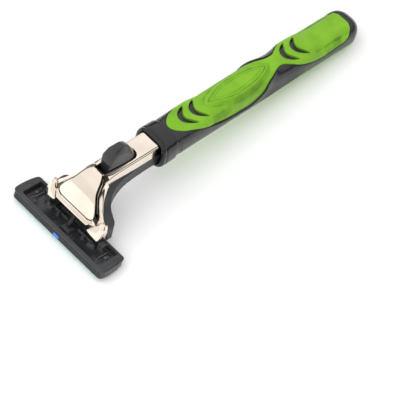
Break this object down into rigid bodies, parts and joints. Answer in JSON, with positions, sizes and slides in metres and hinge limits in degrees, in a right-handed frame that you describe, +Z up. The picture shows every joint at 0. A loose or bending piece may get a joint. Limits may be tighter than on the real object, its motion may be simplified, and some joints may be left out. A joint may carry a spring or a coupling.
{
  "type": "cartridge razor",
  "caption": "Shaving razor with a rubber-gripped handle, chrome neck, thumb release button and a sprung, pivoting twin-blade cartridge.",
  "frame": {"origin": "centre of the footprint, on the table under the razor as it lies on its guard bar and tail", "axes": "+X from the head to the tail, +Y across the razor, +Z up, to the thumb side"},
  "size_m": [0.138, 0.0428, 0.0313],
  "materials": {
    "core": "smooth moulded black plastic",
    "collar": "smooth black moulded sleeve",
    "grip": "soft green moulded rubber with fine ribs",
    "base": "satin dark grey moulding",
    "cartridge": "satin dark grey moulding",
    "button": "satin black moulding",
    "mechanism": "plain black moulding",
    "chrome": "bright warm chrome plating",
    "spring": "drawn spring wire and plain strip",
    "blade": "ground stainless steel",
    "strip": "waxy teal lubricating strip",
    "mark": "small bright blue insert"
  },
  "bodies": {
    "handle": {"handle_core": "core", "collar": "collar", "thumb_grip": "grip", "back_grip": "grip", "neck_base": "base", "neck_cover": "chrome", "button_spring": "spring", "plunger_spring": "spring"},
    "release": {"release_button": "button", "pusher_plate": "mechanism"},
    "left_arm": {"left_bearing_arm": "mechanism"},
    "right_arm": {"right_bearing_arm": "mechanism"},
    "plunger": {"plunger": "mechanism"},
    "cartridge": {"cartridge_tray": "cartridge", "first_blade": "blade", "blade_spacer": "spring", "second_blade": "blade", "cartridge_cap": "cartridge", "lubricating_strip": "strip", "index_mark": "mark"}
  },
  "joints": [
    {"name": "cartridge_pivot", "type": "hinge", "parent": "handle", "child": "cartridge", "pos_m": [-0.05947, 0, 0.00309], "axis": [0, 1, 0], "range_deg": [0, 38], "stiffness_Nm_per_rad": 0.003, "springref_deg": -34.38},
    {"name": "plunger_slide", "type": "slide", "parent": "handle", "child": "plunger", "axis": [0.6952, 0, 0.7189], "range_m": [0, 0.00235]},
    {"name": "release_slide", "type": "slide", "parent": "handle", "child": "release", "axis": [-0.9922, 0, 0.1248], "range_m": [0, 0.0014], "stiffness_N_per_m": 1500, "springref_m": -0.001},
    {"name": "left_arm_slide", "type": "slide", "parent": "handle", "child": "left_arm", "axis": [0, 1, 0], "range_m": [0, 0.0014]},
    {"name": "right_arm_slide", "type": "slide", "parent": "handle", "child": "right_arm", "axis": [0, -1, 0], "range_m": [0, 0.0014]}
  ],
  "couplings": [
    {"joint": "plunger_slide", "follows": "cartridge_pivot", "m_per_rad": 0.0035},
    {"joint": "left_arm_slide", "follows": "release_slide", "ratio": 1},
    {"joint": "right_arm_slide", "follows": "release_slide", "ratio": 1}
  ]
}
